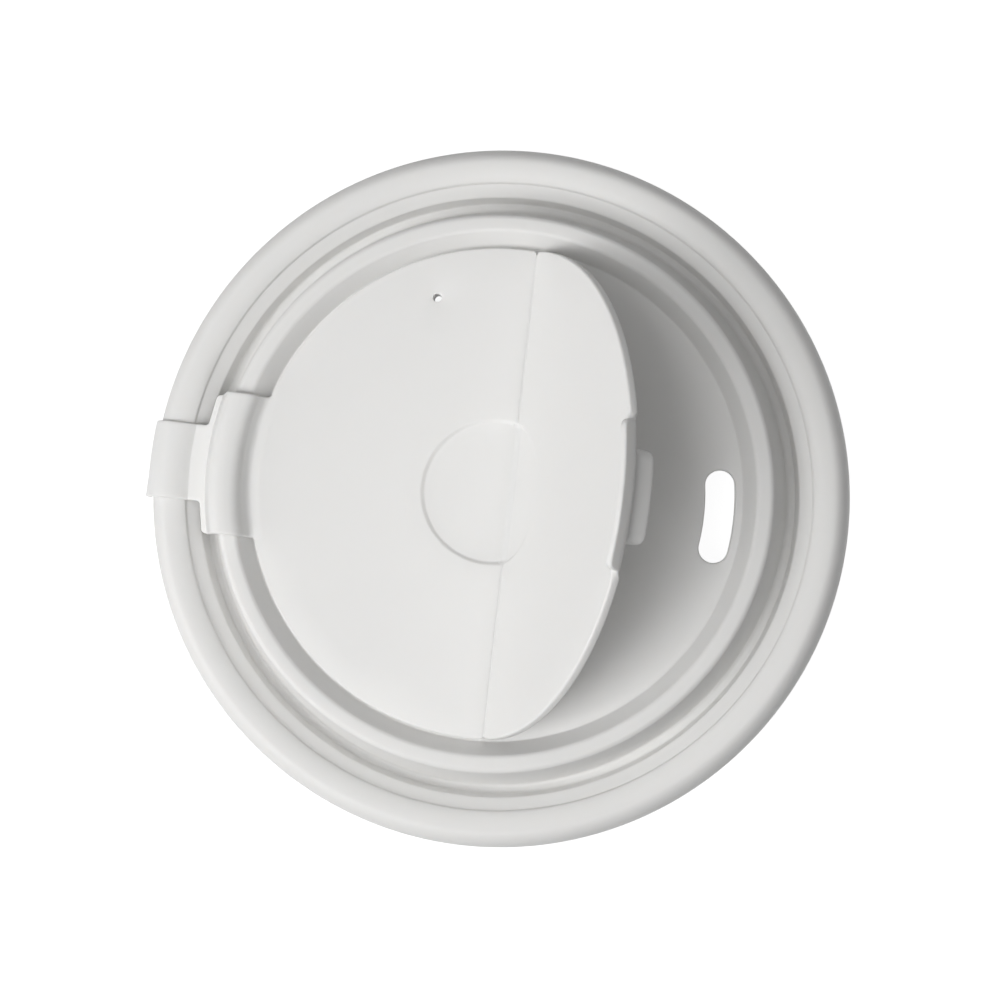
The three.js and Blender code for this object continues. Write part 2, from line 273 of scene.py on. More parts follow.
def mirrored_loop(half, corners):
    """A closed outline from its half with Y above zero, with (index, radius) corners blunted."""
    shift = 0
    for index, radius in sorted(corners):
        half, change = blunt(half, index + shift, radius)
        shift += change
    loop = np.array(half + [(x, -y) for x, y in reversed(half) if y > 1e-6])
    following = np.roll(loop, -1, axis=0)
    if np.sum(loop[:, 0] * following[:, 1] - following[:, 0] * loop[:, 1]) < 0:
        loop = loop[::-1]
    return resample(loop, OUTLINE_STEP)


print("outline helpers: inset, resample, blunt, mirrored_loop")

# %% [markdown]
# ## Plates with rounded edges
# The deck, the fixed half and the flap are thin plates with holes, steps and bent ends. A
# boolean and a bevel would do it, but they leave slivers at the curved edges. Here a plate is
# drawn flat, as an outline with rings of points set in from it, filled by Delaunay triangles,
# and then lifted onto its track. Each ring knows its place on the edge round, so the round is
# exact.

# %% Plate helper
EDGE_ANGLES = [0.0, 22.5, 45.0, 67.5, 90.0]
MERGE_DISTANCE = 1e-7


def inside_loops(points, rings):
    """Tells which points lie inside the outer loop and outside the holes."""
    inside = np.zeros(len(points), bool)
    for ring in rings:
        for a, b in zip(ring, np.roll(ring, -1, axis=0)):
            crosses = (a[1] > points[:, 1]) != (b[1] > points[:, 1])
            rise = b[1] - a[1] if b[1] != a[1] else 1e-12
            meets = (b[0] - a[0]) * (points[:, 1] - a[1]) / rise + a[0]
            inside ^= crosses & (points[:, 0] < meets)
    return inside


def gap_to_loops(points, rings):
    """Distance from each point to the nearest side of the loops."""
    near = np.full(len(points), np.inf)
    for ring in rings:
        for a, b in zip(ring, np.roll(ring, -1, axis=0)):
            side = b - a
            t = np.clip(((points - a) @ side) / (side @ side), 0, 1)
            near = np.minimum(near, np.linalg.norm(points - (a + t[:, None] * side), axis=1))
    return near


class Plate:
    """A flat drawing of a plate: loops with edge rounds, and loose points inside them."""

    def __init__(self):
        self.points = []
        self.levels = []
        self.rounds = []
        self.edges = []
        self.loops = []

    def add_ring(self, ring, level, rounds):
        """A closed ring of constrained edges. The level is its angle on the edge round."""
        start = len(self.points)
        self.points += [tuple(p) for p in ring]
        self.levels += [level] * len(ring)
        self.rounds += list(rounds)
        index = list(range(start, start + len(ring)))
        self.edges += list(zip(index, index[1:] + index[:1]))
        return index

    def add_loop(self, loop, edge_round):
        """A boundary with the plate on its left, and its rings of the edge round."""
        rounds = np.broadcast_to(np.asarray(edge_round, float), (len(loop),))
        indices = []
        for level in np.radians(EDGE_ANGLES):
            ring = inset(loop, rounds * (1 - math.cos(level)))
            indices.append(self.add_ring(ring, float(level), rounds))
        self.loops.append(indices[0])

    def rings(self):
        return [np.array([self.points[i] for i in loop]) for loop in self.loops]

    def add_points(self, points, keep_off=0.35):
        """Loose points, left out where they lie outside the plate or too near its edge."""
        points = np.asarray(points, float)
        rings = self.rings()
        kept = points[inside_loops(points, rings) & (gap_to_loops(points, rings) > keep_off)]
        self.points += [tuple(p) for p in kept]
        self.levels += [math.pi / 2] * len(kept)
        self.rounds += [0.0] * len(kept)

    def heights(self, half):
        """Height of the upper side above the middle, given half the wall."""
        edge = np.array(self.rounds)
        return half - edge + edge * np.sin(np.array(self.levels))

    def faces(self):
        """Triangles of both sides, where they lie inside the outer loop and outside the holes."""
        points = [Vector(p) for p in self.points]
        result = delaunay_2d_cdt(points, self.edges, [], 0, MERGE_DISTANCE)
        drawn = np.array([tuple(v) for v in result[0]])
        if len(drawn) != len(points):
            print("note: the drawing gained or lost points:", len(points), len(drawn))
        triangles = np.array(result[2])
        inside = inside_loops(drawn[triangles].mean(axis=1), self.rings())
        origin = [ids[0] for ids in result[3]]
        count = len(points)
        faces = []
        for triangle, keep in zip(triangles, inside):
            if keep:
                a, b, c = (origin[i] for i in triangle)
                faces += [(a, b, c), (c + count, b + count, a + count)]
        return faces

    def edge_faces(self, loops):
        """Quads between the upper and the lower side along some loops."""
        count = len(self.points)
        faces = []
        for loop in loops:
            for a, b in zip(loop, loop[1:] + loop[:1]):
                faces.append((a + count, b + count, b, a))
        return faces


def mesh_object(name, vertices, faces):
    """A smooth mesh from millimetre points, linked into the scene."""
    mesh = bpy.data.meshes.new(name)
    mesh.from_pydata([tuple(v) for v in np.asarray(vertices) * MM], [], faces)
    mesh.validate()
    mesh.update()
    mesh.shade_smooth()
    piece = bpy.data.objects.new(name, mesh)
    bpy.context.scene.collection.objects.link(piece)
    print(name, "vertices", len(mesh.vertices), "faces", len(mesh.polygons))
    return piece


def new_piece(name, vertices, faces, body, replaced):
    """A piece that rides on a body of the frame and replaces nodes of the model."""
    piece = mesh_object(name, vertices, faces)
    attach(piece, body)
    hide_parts(*replaced)
    return piece


print("rings in an edge round:", len(EDGE_ANGLES))

# %% [markdown]
# ## The tracks of the closure
# Seen in section, the closure lies flat on the deck, sweeps up the inner wall of the ridge,
# lies over the crest, falls to a small flange and, on the strap, runs on as a flat web to the
# clip that hugs the bead. One line down the middle of the wall describes all of it, and a
# second list gives the wall at each part of the way. The flap has a shorter track, which turns
# up into the finger lip.

# %% Tracks of the strap and of the lip
TRACK_STEP = math.radians(6)
NORMAL_STEP = 0.06


class Track:
    """The middle line of a plate in section, with its wall, read by distance along it."""

    def __init__(self, corners, wall_at):
        self.line = rounded(corners, TRACK_STEP)
        sides = np.linalg.norm(np.diff(self.line, axis=0), axis=1)
        self.at = np.concatenate([[0.0], np.cumsum(sides)])
        self.end = self.at[-1]
        self.wall_at = wall_at

    def distance(self, radius):
        """Distance along the track where it first reaches a radius."""
        beyond = int(np.argmax(self.line[:, 0] >= radius))
        r = self.line[beyond - 1:beyond + 1, 0]
        return float(np.interp(radius, r, self.at[beyond - 1:beyond + 1]))

    def place(self, s):
        return np.interp(s, self.at, self.line[:, 0]), np.interp(s, self.at, self.line[:, 1])

    def normal(self, s):
        """Unit normal on the upper side of the plate."""
        r0, z0 = self.place(np.maximum(s - NORMAL_STEP, 0))
        r1, z1 = self.place(np.minimum(s + NORMAL_STEP, self.end))
        dr, dz = r1 - r0, z1 - z0
        size = np.hypot(dr, dz)
        return -dz / size, dr / size

    def wall(self, s):
        radii, walls = zip(*self.wall_at)
        return np.interp(self.place(s)[0], radii, walls)


DISC_MID = DISC_TOP - DISC_T / 2
strap_corners = [
    (0.0, DISC_MID),
    (32.75, DISC_MID, 2.5),
    (33.65, 10.5, 1.5),
    (34.1, SADDLE_Z, 0.8),
    (36.95, SADDLE_Z, 1.15),
    (38.75, WEB_Z, 0.5),
    (41.5, WEB_Z, 0.3),
]
strap_corners += ellipse(BEAD_CREST_R, SHOULDER_Z, 2.5 + CLIP_OFF, 1.0 + CLIP_OFF, 150, 94)
strap_corners += ellipse(
    BEAD_CREST_R, SKIRT_Z, BEAD_RUN + CLIP_OFF, BEAD_TOP - SKIRT_Z + CLIP_OFF, 90, 6
)
strap_corners += [
    (RIM_R + 0.28, 1.5, 0.5),
    (RIM_R + 0.62, 0.95, 0.4),
    (RIM_R + 0.68, 0.55),
]
strap_walls = [
    (0.0, DISC_T),
    (31.0, DISC_T),
    (32.8, 0.75),
    (34.4, 0.75),
    (35.4, 1.0),
    (38.0, 1.0),
    (40.0, 0.8),
    (42.5, 0.66),
    (50.0, 0.62),
]
lip_corners = [(0.0, DISC_MID), (31.97, DISC_MID, 1.4), (32.92, 11.45)]
lip_walls = [(0.0, DISC_T), (31.2, DISC_T), (32.6, 1.0), (34.0, 0.9)]
strap_track = Track(strap_corners, strap_walls)
lip_track = Track(lip_corners, lip_walls)
print("strap and flap, mm from the centre:", round(strap_track.end, 1), round(lip_track.end, 1))

# %% [markdown]
# ## Lifting a drawing onto its track
# In the flat drawing a distance from the centre is a distance along the track. Only the sector
# of the strap or the lip follows the bends, and the rest of the disc stays flat. The round
# thumb recess lies across the hinge, so both halves share its depth.

# %% Lift
BEND_FADE = 0.6
BEND_MARGIN = 0.4


def thumb_recess(flat):
    """Depth of the round thumb recess at each point of a flat drawing."""
    distance = np.hypot(flat[:, 0], flat[:, 1])
    return THUMB_DEPTH * smooth_step((THUMB_R + THUMB_OUTSET - distance) / THUMB_WALL)


def lift(plate, track, half_width, side):
    """Upper and lower vertices of a plate. The side is 1 for the flap and -1 for the strap."""
    flat = np.array(plate.points)
    s = np.hypot(flat[:, 0], flat[:, 1])
    angle = np.arctan2(flat[:, 1], side * flat[:, 0])
    r, z = track.place(s)
    nr, nz = track.normal(s)
    sector = half_width + BEND_MARGIN + BEND_FADE
    bent = smooth_step((sector - DISC_R * np.abs(angle)) / BEND_FADE)
    r = s + (r - s) * bent
    z = DISC_MID + (z - DISC_MID) * bent
    nr = nr * bent
    nz = 1.0 + (nz - 1.0) * bent
    height = plate.heights((DISC_T + (track.wall(s) - DISC_T) * bent) / 2)
    sides = []
    for offset in (height - thumb_recess(flat), -height):
        radius = r + nr * offset
        x, y = side * radius * np.cos(angle), radius * np.sin(angle)
        sides.append(np.stack([x, y, z + nz * offset], axis=1))
    return sides


def strap_side(track, s_from, s_to, half_width, steps, side):
    """One side of a strap in the flat drawing, on the positive Y side."""
    points = []
    for s in np.linspace(s_from, s_to, steps):
        angle = math.asin(min(1.0, half_width / track.place(s)[0]))
        points.append((side * s * math.cos(angle), s * math.sin(angle)))
    return points


print("thumb recess, mm: radius", THUMB_R, "depth", THUMB_DEPTH)

# %% Loose points
BEND_START = 29.5
BEND_STOP = 0.2
ACROSS_STEP = 0.7
FIELD_STEP = 4.0
FIELD_R = 29
FIELD_OFF_RECESS = 1.5
RECESS_KEEP_OFF = 0.12
RECESS_IN = 0.45
RECESS_OUT = 0.3
RECESS_RING_STEP = 0.08
RECESS_SPACING = 0.35
RECESS_SWEEP = 2 * math.pi * 0.997


def bend_points(track, half_width, row_step, side):
    """Rows of points across the bends, close enough for a smooth round."""
    points = []
    for s in np.arange(BEND_START, track.end - BEND_STOP, row_step):
        for y in np.arange(-half_width, half_width + 0.01, ACROSS_STEP):
            angle = math.asin(y / track.place(s)[0])
            points.append((side * s * math.cos(angle), s * math.sin(angle)))
    return points


def recess_points(x_low, x_high):
    """Rings of points where the thumb recess steps down."""
    points = []
    for radius in np.arange(THUMB_R - RECESS_IN, THUMB_R + RECESS_OUT, RECESS_RING_STEP):
        points += arc_points(0, 0, radius, 0, RECESS_SWEEP, RECESS_SPACING)
    return [p for p in points if x_low < p[0] < x_high]


def field_points(x_low, x_high):
    """Sparse points on the flat of a half disc, off the recess and the rim."""
    points = []
    for x in np.arange(x_low, x_high, FIELD_STEP):
        for y in np.arange(-32, 32.1, FIELD_STEP):
            distance = math.hypot(x, y)
            if abs(distance - THUMB_R) > FIELD_OFF_RECESS and distance < FIELD_R:
                points.append((x, y))
    return points


print("loose points, mm apart: across the bends", ACROSS_STEP, "on the flats", FIELD_STEP)

# %% [markdown]
# ## The fixed half and the strap
# On the real lid one moulding holds the clip, the web, the saddle and the fixed half, so they
# are one mesh. Its outline is drawn flat. Beyond the disc the sides of the strap are drawn so
# that they stay parallel once it is bent.

# %% Outline of the strap and the fixed half
s_flange = strap_track.distance(FLANGE_R)
hinge_left = HINGE_X - HINGE_GAP
hinge_y = math.sqrt(DISC_R**2 - hinge_left**2)
rim_from = math.atan2(hinge_y, hinge_left)
rim_to = math.pi - math.asin(STRAP_HALF / DISC_R)
rim = arc_points(0, 0, DISC_R, rim_from, rim_to, OUTLINE_STEP)
saddle = strap_side(strap_track, DISC_R, s_flange, STRAP_HALF, 60, -1)[1:]
web = strap_side(strap_track, s_flange, strap_track.end, WEB_HALF, 90, -1)
flange_corner = len(rim) + len(saddle)
strap_half = [(hinge_left, 0.0)] + rim + saddle + web + [(-strap_track.end, 0.0)]
strap_loop = mirrored_loop(strap_half, [
    (1, 0.35),
    (len(rim), 0.35),
    (flange_corner, 0.8),
    (flange_corner + 1, 0.5),
    (flange_corner + len(web), 0.6),
])
print("strap outline points:", len(strap_loop))

# %% Mesh of the strap and the fixed half
HINGE_BAND = 0.05
HINGE_ROUND = 0.1
STRAP_ROUND = 0.28
VENT_ROUND = 0.12
FOOT_TOP_Z = 2.6
FOOT_FADE = 2.0
FOOT_BEYOND_X = -45

strap = Plate()
at_hinge = strap_loop[:, 0] > hinge_left - HINGE_BAND
strap.add_loop(strap_loop, np.where(at_hinge, HINGE_ROUND, STRAP_ROUND))
vent_loop = np.array(arc_points(*VENT_AT, VENT_R, 2 * math.pi, 0.13, 0.1))
strap.add_loop(vent_loop, VENT_ROUND)
strap.add_points(bend_points(strap_track, STRAP_HALF, 0.22, -1))
strap.add_points(recess_points(-20, hinge_left), RECESS_KEEP_OFF)
strap.add_points(field_points(-28, 2))
upper, lower = lift(strap, strap_track, STRAP_HALF, -1)
# One corner of the clip's foot stands out a little more than the other, as in the photograph.
for half in (upper, lower):
    across = half[:, 1] / WEB_HALF
    foot = smooth_step((FOOT_TOP_Z - half[:, 2]) / FOOT_FADE) * (half[:, 0] < FOOT_BEYOND_X)
    half[:, 0] -= FOOT_SKEW * (across * across - across) * foot
vertices = np.concatenate([upper, lower])
faces = strap.faces() + strap.edge_faces(strap.loops)
strap_piece = new_piece(
    "closure_strap_moulding", vertices, faces, "lid", ["closure_strap"]
)

# %% [markdown]
# ## The flap
# The flap is the other half of the same moulding. It is drawn shut, over the slot. Its rim
# turns up into a finger lip, which stands over the inner wall of the ridge when the flap is
# shut.

# %% Flap with its lip, drawn shut
FLAP_ROUND = 0.3

hinge_right = HINGE_X + HINGE_GAP
rim_from = math.atan2(math.sqrt(DISC_R**2 - hinge_right**2), hinge_right)
flap_rim = arc_points(0, 0, DISC_R, rim_from, math.asin(LIP_HALF / DISC_R), OUTLINE_STEP)
lip_side = strap_side(lip_track, DISC_R, lip_track.end, LIP_HALF, 30, 1)[1:]
edge_from = math.asin(LIP_HALF / lip_track.line[-1, 0])
lip_edge = arc_points(0, 0, lip_track.end, edge_from, 0.0, OUTLINE_STEP)[1:]
flap_loop = mirrored_loop([(hinge_right, 0.0)] + flap_rim + lip_side + lip_edge, [
    (1, 0.35),
    (len(flap_rim), 0.3),
    (len(flap_rim) + len(lip_side), LIP_CORNER),
])
flap = Plate()
at_hinge = flap_loop[:, 0] < hinge_right + HINGE_BAND
flap.add_loop(flap_loop, np.where(at_hinge, HINGE_ROUND, FLAP_ROUND))
flap.add_points(bend_points(lip_track, LIP_HALF, 0.16, 1))
flap.add_points(recess_points(hinge_right, 20), RECESS_KEEP_OFF)
flap.add_points(field_points(4, 29))
flap_vertices = np.concatenate(lift(flap, lip_track, LIP_HALF, 1))
flap_faces = flap.faces() + flap.edge_faces(flap.loops)
print("flap outline points:", len(flap_loop))

# %% [markdown]
# ## The plug
# Under the flap stands a hollow plug that shuts the slot. It follows the slot's curve with a
# small clearance and narrows towards its tip, so that it finds the slot by itself. The flap
# and the plug are then turned together about the living hinge, to the angle at which the
# photograph shows them.

# %% Plug under the flap
PLUG_WIDTH = SLOT_W - 0.5
PLUG_LENGTH = SLOT_L - 0.3
PLUG_TIP = -3.0
PLUG_RINGS = [
    (0.0, 0.4),
    (0.0, 0.0),
    (0.08, -0.9),
    (0.2, PLUG_TIP + 0.6),
    (0.28, PLUG_TIP + 0.28),
    (0.42, PLUG_TIP + 0.08),
    (0.6, PLUG_TIP),
    (0.85, PLUG_TIP),
    (0.95, PLUG_TIP + 0.1),
    (1.0, PLUG_TIP + 0.3),
    (1.05, -1.0),
    (1.15, -0.85),
]


def slot_loop(width, length, spacing=0.35):
    """The curved slot outline with round ends, counter-clockwise."""
    half = width / 2
    sweep = (length / 2 - half) / SLOT_R
    end_x = SLOT_R * math.cos(sweep)
    end_y = SLOT_R * math.sin(sweep)
    points = arc_points(0, 0, SLOT_R + half, -sweep, sweep, spacing)
    points += arc_points(end_x, end_y, half, sweep, sweep + math.pi, spacing)[1:]
    points += arc_points(0, 0, SLOT_R - half, sweep, -sweep, spacing)[1:]
    points += arc_points(end_x, -end_y, half, math.pi - sweep, 2 * math.pi - sweep, spacing)[1:-1]
    return np.array(points)


def opened(vertices):
    """Turns points from the shut flap to the open one, about the hinge."""
    x = vertices[:, 0] - HINGE_X
    z = vertices[:, 2] - DISC_TOP
    cos, sin = math.cos(OPEN_ANGLE), math.sin(OPEN_ANGLE)
    turned = [HINGE_X + x * cos - z * sin, vertices[:, 1], DISC_TOP + x * sin + z * cos]
    return np.stack(turned, axis=1)


plug_root = slot_loop(PLUG_WIDTH, PLUG_LENGTH)
ring_size = len(plug_root)
plug_vertices = []
for set_in, level in PLUG_RINGS:
    ring = inset(plug_root, np.full(ring_size, set_in))
    plug_vertices += [(x, y, DISC_TOP - DISC_T + level) for x, y in ring]
base = len(flap_vertices)
for k in range(len(PLUG_RINGS) - 1):
    here = base + k * ring_size
    below = here + ring_size
    for i in range(ring_size):
        j = (i + 1) % ring_size
        flap_faces.append((here + j, here + i, below + i, below + j))
flap_faces.append(tuple(base + i for i in range(ring_size)))
last = base + (len(PLUG_RINGS) - 1) * ring_size
flap_faces.append(tuple(last + i for i in reversed(range(ring_size))))
flap_vertices = opened(np.concatenate([flap_vertices, np.array(plug_vertices)]))
flap_piece = new_piece(
    "flap_moulding", flap_vertices, flap_faces, "flap", ["flap"]
)

# %% [markdown]
# ## The living hinge
# Between the halves the plastic is only a thin film, and it bends each time the flap moves.
# Outside the thumb recess it is narrow, so that only a fine line shows. Inside the recess the
# bend is rolled wider, without a line. The ends of its upper side are tucked under the halves,
# so that no step shows. The film is a mesh of its own, tied to neither body.

# %% Living hinge film
FILM_THICKNESS = 0.12
FILM_TUCK = 0.3
FILM_DIP = 0.03
FINE_HALF = 0.24
FINE_SINK = 0.07
ROLLED_HALF = 0.65
ROLLED_SINK = THUMB_DEPTH + 0.004
STATION_STEP = 0.2
FILM_SHORT = 0.3


def film_rows(half_width, sink):
    """Section across the film: the upper side over the bend, and the lower side back."""
    tilt = math.tan(OPEN_ANGLE / 2)
    turn_at = np.array([HINGE_X + sink * tilt, DISC_TOP - sink])
    along = np.array([math.cos(OPEN_ANGLE), math.sin(OPEN_ANGLE)])
    outward = np.array([-math.sin(OPEN_ANGLE), math.cos(OPEN_ANGLE)])
    left = turn_at - np.array([half_width, 0])
    right = turn_at + half_width * along
    rows = [left + np.array([-FILM_TUCK, -FILM_DIP])]
    rows += [
        (1 - k) ** 2 * left + 2 * k * (1 - k) * turn_at + k * k * right
        for k in np.linspace(0, 1, 17)
    ]
    rows.append(right + FILM_TUCK * along - FILM_DIP * outward)
    below = -np.array([0.0, 1.0]) - outward
    below *= FILM_THICKNESS / np.linalg.norm(below)
    return rows + [p + below for p in reversed(rows)]


film_end = hinge_y - FILM_SHORT
stations = np.arange(-film_end, film_end, STATION_STEP)
on_hinge = np.stack([np.full(len(stations), HINGE_X), stations], axis=1)
film_vertices = []
for y, share in zip(stations, thumb_recess(on_hinge) / THUMB_DEPTH):
    rows = film_rows(
        FINE_HALF + (ROLLED_HALF - FINE_HALF) * share,
        FINE_SINK + (ROLLED_SINK - FINE_SINK) * share,
    )
    film_vertices += [(x, y, z) for x, z in rows]
across = len(rows)
film_faces = []
for k in range(len(stations) - 1):
    here = k * across
    ahead = here + across
    for i in range(across):
        j = (i + 1) % across
        film_faces.append((here + i, here + j, ahead + j, ahead + i))
film_faces.append(tuple(reversed(range(across))))
film_faces.append(tuple((len(stations) - 1) * across + i for i in range(across)))
film_piece = mesh_object("living_hinge_film", film_vertices, film_faces)

# %% [markdown]
# ## The lid body
# Everything outside the deck is turned: one section swept round the axis. The list of corners
# runs from the deck over the ridge, through the moat and over the bead to the foot of the
# skirt, and back along the inside of the same wall.

# %% Section of the lid body
BEAD_UNDER_RUN = BEAD_RUN - WALL
ring_corners = [
    (SEAM_R, DECK_Z),
    (DECK_R, DECK_Z, 0.35),
    (CREST_IN_R, RIDGE_TOP, 0.75),
    (CREST_OUT_R, RIDGE_TOP, 0.8),
    (RIDGE_FOOT_R, MOAT_Z, 0.5),
    (MOAT_FOOT_R, MOAT_Z + MOAT_FALL, 0.35),
    (LEDGE_R, LEDGE_Z, 0.45),
    (CREASE_R, CREASE_Z, 0.3),
]
ring_corners += ellipse(BEAD_CREST_R, CREASE_Z, BEAD_INNER_RUN, BEAD_TOP - CREASE_Z, 158, 94)
ring_corners += ellipse(BEAD_CREST_R, SKIRT_Z, BEAD_RUN, BEAD_TOP - SKIRT_Z, 90, 6)
ring_corners += [
    (RIM_R - 0.05, 1.6, 0.6),
    (RIM_R, 0.7, 0.6),
    (RIM_R - 0.2, 0.0, 0.25),
    (RIM_R - WALL, 0.0, 0.25),
    (RIM_R - WALL - 0.4, 0.7, 0.3),
    (RIM_R - WALL - 0.2, 1.6, 0.4),
]
ring_corners += ellipse(BEAD_CREST_R, SKIRT_Z, BEAD_UNDER_RUN, BEAD_TOP - WALL - SKIRT_Z, 6, 128)
ring_corners += [
    (LEDGE_R + WALL, SHOULDER_Z - WALL, 0.4),
    (MOAT_FOOT_R + WALL, MOAT_Z - 0.2, 0.5),
    (MOAT_FOOT_R + WALL - 0.35, MOAT_Z - WALL, 0.4),
    (RIDGE_FOOT_R - WALL, MOAT_Z - WALL, 0.3),
    (CREST_OUT_R - WALL + 0.25, RIDGE_TOP - WALL, 0.5),
    (CREST_IN_R + 0.55, RIDGE_TOP - WALL, 0.4),
    (DECK_R + 0.75, DECK_Z - WALL, 0.3),
    (SEAM_R, DECK_Z - WALL),
]
ring_line = rounded(ring_corners, math.radians(10))
print("turned section points:", len(ring_line))

# %% [markdown]
# ## The deck
# The deck has the slot and the vent in it, so it is a plate like the others. Its outer edge is
# a seam without a round, and the turned ring takes its first and last row of vertices from
# that seam, so that the lid body is one closed mesh.

# %% Deck and turned ring as one mesh
COLUMNS = 384
SLOT_ROUND = 0.3
DECK_STEP = 5.0

angles = np.radians(np.arange(COLUMNS) * 360 / COLUMNS)
deck = Plate()
seam = [(SEAM_R * math.cos(a), SEAM_R * math.sin(a)) for a in angles]
deck.loops.append(deck.add_ring(seam, math.pi / 2, [0.0] * COLUMNS))
deck.add_loop(slot_loop(SLOT_W, SLOT_L)[::-1], SLOT_ROUND)
deck.add_loop(vent_loop, VENT_ROUND)
deck_grid = np.arange(-30, 31, DECK_STEP)
deck.add_points([(x, y) for x in deck_grid for y in deck_grid], keep_off=1.0)
height = deck.heights(WALL / 2)
middle = DECK_Z - WALL / 2
body_vertices = [(x, y, middle + h) for (x, y), h in zip(deck.points, height)]
body_vertices += [(x, y, middle - h) for (x, y), h in zip(deck.points, height)]
body_faces = deck.faces() + deck.edge_faces(deck.loops[1:])
deck_count = len(deck.points)
base = len(body_vertices)
for r, z in ring_line[1:-1]:
    body_vertices += [(r * math.cos(a), r * math.sin(a), z) for a in angles]
row_starts = [0]
row_starts += [base + k * COLUMNS for k in range(len(ring_line) - 2)]
row_starts += [deck_count]
for here, ahead in zip(row_starts, row_starts[1:]):
    for i in range(COLUMNS):
        j = (i + 1) % COLUMNS
        body_faces.append((here + i, ahead + i, ahead + j, here + j))
body_piece = new_piece(
    "lid_body_moulding", body_vertices, body_faces, "lid", ["lid_body"]
)

# %% [markdown]
# ## White polypropylene
# The real surface is a satin moulded white: almost even in colour, with a very fine grain from
# the tool and a little light travelling inside it. Two small node groups give the grain and
# the slight drift of tint, and both mouldings use them with their own values.

# %% Group for the grain of the tool
def make_group(name, inputs, outputs):
    """An empty shader node group with named inputs and outputs."""
    group = bpy.data.node_groups.new(name, "ShaderNodeTree")
    for label, kind, value in inputs:
        socket = group.interface.new_socket(label, in_out="INPUT", socket_type=kind)
        socket.default_value = value
    for label, kind in outputs:
        group.interface.new_socket(label, in_out="OUTPUT", socket_type=kind)
    entry = group.nodes.new("NodeGroupInput")
    leave = group.nodes.new("NodeGroupOutput")
    return group, entry, leave


def make_tool_grain():
    """Fine grain of a spark-eroded tool: a height that changes over the surface."""
    group, entry, leave = make_group(
        "tool_grain",
        [("Grain Scale", "NodeSocketFloat", 2500.0), ("Depth", "NodeSocketFloat", 1.0)],
        [("Height", "NodeSocketFloat")],
    )
    nodes, links = group.nodes, group.links
    place = nodes.new("ShaderNodeTexCoord")
    noise = nodes.new("ShaderNodeTexNoise")
    noise.inputs["Detail"].default_value = 3.0
    noise.inputs["Roughness"].default_value = 0.6
    depth = nodes.new("ShaderNodeMath")
    depth.operation = "MULTIPLY"
    links.new(place.outputs["Object"], noise.inputs["Vector"])
    links.new(entry.outputs["Grain Scale"], noise.inputs["Scale"])
    links.new(noise.outputs["Fac"], depth.inputs[0])
    links.new(entry.outputs["Depth"], depth.inputs[1])
    links.new(depth.outputs["Value"], leave.inputs["Height"])
    return group


tool_grain = make_tool_grain()
print("group", tool_grain.name, "nodes", len(tool_grain.nodes))

# %% Group for the drift of tint and gloss
def make_resin_drift():
    """Slight drift of tint and gloss where the resin flowed and cooled unevenly."""
    group, entry, leave = make_group(
        "resin_drift",
        [
            ("Tint", "NodeSocketColor", (0.8, 0.8, 0.8, 1.0)),
            ("Drift Tint", "NodeSocketColor", (0.76, 0.78, 0.77, 1.0)),
            ("Drift Scale", "NodeSocketFloat", 60.0),
            ("Roughness", "NodeSocketFloat", 0.4),
            ("Gloss Drift", "NodeSocketFloat", 0.06),
        ],
        [("Color", "NodeSocketColor"), ("Roughness", "NodeSocketFloat")],
    )
    nodes, links = group.nodes, group.links
    place = nodes.new("ShaderNodeTexCoord")
    noise = nodes.new("ShaderNodeTexNoise")
    noise.inputs["Detail"].default_value = 4.0
    mix = nodes.new("ShaderNodeMix")
    mix.data_type = "RGBA"
    swing = nodes.new("ShaderNodeMath")
    swing.operation = "MULTIPLY_ADD"
    links.new(place.outputs["Object"], noise.inputs["Vector"])
    links.new(entry.outputs["Drift Scale"], noise.inputs["Scale"])
    links.new(noise.outputs["Fac"], mix.inputs["Factor"])
    links.new(entry.outputs["Tint"], mix.inputs["A"])
    links.new(entry.outputs["Drift Tint"], mix.inputs["B"])
    links.new(mix.outputs["Result"], leave.inputs["Color"])
    links.new(noise.outputs["Fac"], swing.inputs[0])
    links.new(entry.outputs["Gloss Drift"], swing.inputs[1])
    links.new(entry.outputs["Roughness"], swing.inputs[2])
    links.new(swing.outputs["Value"], leave.inputs["Roughness"])
    return group


resin_drift = make_resin_drift()
print("group", resin_drift.name, "nodes", len(resin_drift.nodes))

# %% [markdown]
# ## Materials
# Both mouldings are the same resin. The closure is a little glossier than the lid body, so each
# has
# its own roughness and depth of grain. The lid body's tint is a little darker than the closure's:
# that is painted shade, standing in for the shade that falls on the bead.

# %% Materials of the two mouldings
def white_plastic(name, tint, drift, roughness, grain_depth):
    """Satin polypropylene from the two groups."""
    material = bpy.data.materials.new(name)
    material.use_nodes = True
    nodes, links = material.node_tree.nodes, material.node_tree.links
    shader = nodes["Principled BSDF"]
    colour = nodes.new("ShaderNodeGroup")
    colour.node_tree = resin_drift
    colour.inputs["Tint"].default_value = (*tint, 1.0)
    colour.inputs["Drift Tint"].default_value = (*drift, 1.0)
    colour.inputs["Roughness"].default_value = roughness
    grain = nodes.new("ShaderNodeGroup")
    grain.node_tree = tool_grain
    grain.inputs["Depth"].default_value = grain_depth
    bump = nodes.new("ShaderNodeBump")
    bump.inputs["Strength"].default_value = 0.08
    bump.inputs["Distance"].default_value = 0.00004
    links.new(colour.outputs["Color"], shader.inputs["Base Color"])
    links.new(colour.outputs["Roughness"], shader.inputs["Roughness"])
    links.new(grain.outputs["Height"], bump.inputs["Height"])
    links.new(bump.outputs["Normal"], shader.inputs["Normal"])
    shader.inputs["IOR"].default_value = 1.49
    shader.inputs["Specular IOR Level"].default_value = 0.4
    shader.inputs["Subsurface Weight"].default_value = 0.12
    shader.inputs["Subsurface Radius"].default_value = (1.0, 0.9, 0.8)
    shader.inputs["Subsurface Scale"].default_value = 0.0012
    print("material", name)
    return material
